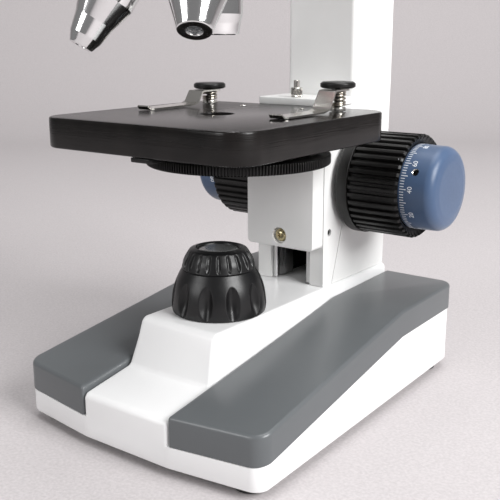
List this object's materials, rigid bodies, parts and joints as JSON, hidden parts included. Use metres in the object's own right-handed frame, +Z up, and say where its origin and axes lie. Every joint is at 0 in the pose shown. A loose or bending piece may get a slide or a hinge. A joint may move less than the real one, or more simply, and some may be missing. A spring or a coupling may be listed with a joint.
{
  "type": "compound microscope",
  "caption": "Upright student microscope with a turret of objectives, inclined monocular head, square stage with clips, coaxial focus knobs and a built-in lamp in a two-tone base.",
  "frame": {"origin": "centre of the outline's box on the table, under the feet", "axes": "+Z up; +X to the microscope's own right, along the focus knobs' axis; +Y back, from the stage to the arm"},
  "size_m": [0.1176, 0.1518, 0.3271],
  "materials": {
    "white_paint": "semi-gloss white paint",
    "white_plastic": "moulded white plastic, semi-gloss",
    "grey_plastic": "satin mid-grey plastic",
    "black_plastic": "moulded black plastic, satin",
    "black_stage": "satin black coating on a machined plate",
    "blue_rubber": "soft-touch slate blue",
    "steel": "machined steel",
    "nickel": "bright nickel plate",
    "brass": "machined brass",
    "chrome": "polished chrome",
    "optical_glass": "clear coated glass",
    "diffuser": "smoked, lightly frosted lamp glass",
    "foot_rubber": "matt black rubber",
    "circuit_board": "solder-masked board",
    "battery": "shrink-wrapped cells"
  },
  "bodies": {
    "root": {"base_housing": "white_plastic", "side_cover_left": "grey_plastic", "side_cover_right": "grey_plastic", "base_plate": "steel", "rubber_foot_front_left": "foot_rubber", "rubber_foot_front_right": "foot_rubber", "rubber_foot_rear_left": "foot_rubber", "rubber_foot_rear_right": "foot_rubber", "battery_pack": "battery", "switch_frame": "black_plastic", "power_jack": "black_plastic", "lamp_housing": "black_plastic", "lamp_cap": "black_plastic", "lamp_lens": "diffuser", "led_board": "circuit_board", "arm": "white_paint", "guide_rail_left": "steel", "guide_rail_right": "steel", "bearing_bush_left": "brass", "bearing_bush_right": "brass", "stop_plate": "white_paint", "nosepiece_mount": "chrome"},
    "power_rocker": {"rocker_switch": "black_plastic"},
    "stop_screw": {"stop_screw": "nickel"},
    "coarse_knobs": {"coarse_shaft": "steel", "coarse_pinion": "brass", "coarse_knob_left": "black_plastic", "coarse_knob_right": "black_plastic", "knob_flange_left": "black_plastic", "knob_flange_right": "black_plastic"},
    "fine_knobs": {"fine_shaft": "steel", "fine_knob_left": "blue_rubber", "fine_knob_right": "blue_rubber"},
    "focus_slide": {"rack_slide": "steel", "rack": "brass"},
    "stage": {"fine_slide_plate": "steel", "stage_bracket": "white_paint", "bracket_screw": "brass", "stage_plate": "black_stage", "condenser_lens": "optical_glass", "diaphragm_pivot": "nickel", "diaphragm_spring": "steel"},
    "diaphragm": {"diaphragm_disc": "black_plastic"},
    "clip_base_left": {"clip_post_left": "nickel", "clip_spring_left": "nickel"},
    "clip_base_right": {"clip_post_right": "nickel", "clip_spring_right": "nickel"},
    "clip_left": {"clip_strip_left": "nickel", "clip_button_left": "black_plastic"},
    "clip_right": {"clip_strip_right": "nickel", "clip_button_right": "black_plastic"},
    "turret": {"turret": "chrome", "objective_4x": "chrome", "objective_10x": "chrome", "objective_40x": "chrome"},
    "head": {"head_body": "white_paint", "head_prism": "optical_glass"},
    "head_lock": {"head_lock_screw": "black_plastic"},
    "eyepiece": {"eyepiece_barrel": "black_plastic", "eyepiece_lens": "optical_glass"}
  },
  "joints": [
    {"name": "coarse_focus", "type": "hinge", "parent": "root", "child": "coarse_knobs", "pos_m": [0, 0.04765, 0.0821], "axis": [1, 0, 0], "range_deg": [-91.68, 171.89]},
    {"name": "coarse_slide", "type": "slide", "parent": "root", "child": "focus_slide", "axis": [0, 0, 1], "range_m": [-0.015, 0.008]},
    {"name": "fine_focus", "type": "hinge", "parent": "root", "child": "fine_knobs", "pos_m": [0, 0.04765, 0.0821], "axis": [1, 0, 0], "range_deg": [-1800, 1800]},
    {"name": "fine_slide", "type": "slide", "parent": "focus_slide", "child": "stage", "axis": [0, 0, 1], "range_m": [-0.001, 0.001]},
    {"name": "diaphragm_turn", "type": "hinge", "parent": "stage", "child": "diaphragm", "pos_m": [0.0123, -0.02755, 0.0998], "axis": [0, 0, 1], "continuous": true},
    {"name": "clip_swivel_left", "type": "hinge", "parent": "stage", "child": "clip_base_left", "pos_m": [-0.0302, 0.00815, 0.1138], "axis": [0, 0, 1], "range_deg": [-30, 40]},
    {"name": "clip_swivel_right", "type": "hinge", "parent": "stage", "child": "clip_base_right", "pos_m": [0.0302, 0.00815, 0.1138], "axis": [0, 0, 1], "range_deg": [-40, 30]},
    {"name": "clip_lift_left", "type": "hinge", "parent": "clip_base_left", "child": "clip_left", "pos_m": [-0.0302, -0.00585, 0.1142], "axis": [-1, 0, 0], "range_deg": [0, 6], "stiffness_Nm_per_rad": 0.6, "springref_deg": -2.86, "deforming": ["clip_spring_left"]},
    {"name": "clip_lift_right", "type": "hinge", "parent": "clip_base_right", "child": "clip_right", "pos_m": [0.0302, -0.00585, 0.1142], "axis": [-1, 0, 0], "range_deg": [0, 6], "stiffness_Nm_per_rad": 0.6, "springref_deg": -2.86, "deforming": ["clip_spring_right"]},
    {"name": "turret_turn", "type": "hinge", "parent": "root", "child": "turret", "pos_m": [0, -0.02435, 0.216], "axis": [0, -0.309, -0.9511], "continuous": true},
    {"name": "head_swivel", "type": "hinge", "parent": "root", "child": "head", "pos_m": [0, -0.02435, 0.2208], "axis": [0, 0, 1], "continuous": true},
    {"name": "head_lock_turn", "type": "hinge", "parent": "root", "child": "head_lock", "pos_m": [0, -0.02435, 0.2263], "axis": [1, 0, 0], "range_deg": [0, 360]},
    {"name": "eyepiece_lift", "type": "slide", "parent": "head", "child": "eyepiece", "axis": [0, 0.7071, 0.7071], "range_m": [0, 0.03]},
    {"name": "stop_screw_turn", "type": "hinge", "parent": "root", "child": "stop_screw", "pos_m": [0, 0.02615, 0.1138], "axis": [0, 0, 1], "range_deg": [-360, 360]},
    {"name": "power_switch", "type": "hinge", "parent": "root", "child": "power_rocker", "pos_m": [-0.028, 0.07315, 0.0143], "axis": [1, 0, 0], "range_deg": [-6, 6]}
  ],
  "couplings": [
    {"joint": "coarse_focus", "follows": "coarse_slide", "rad_per_m": -200},
    {"joint": "fine_focus", "follows": "fine_slide", "rad_per_m": -31416}
  ]
}
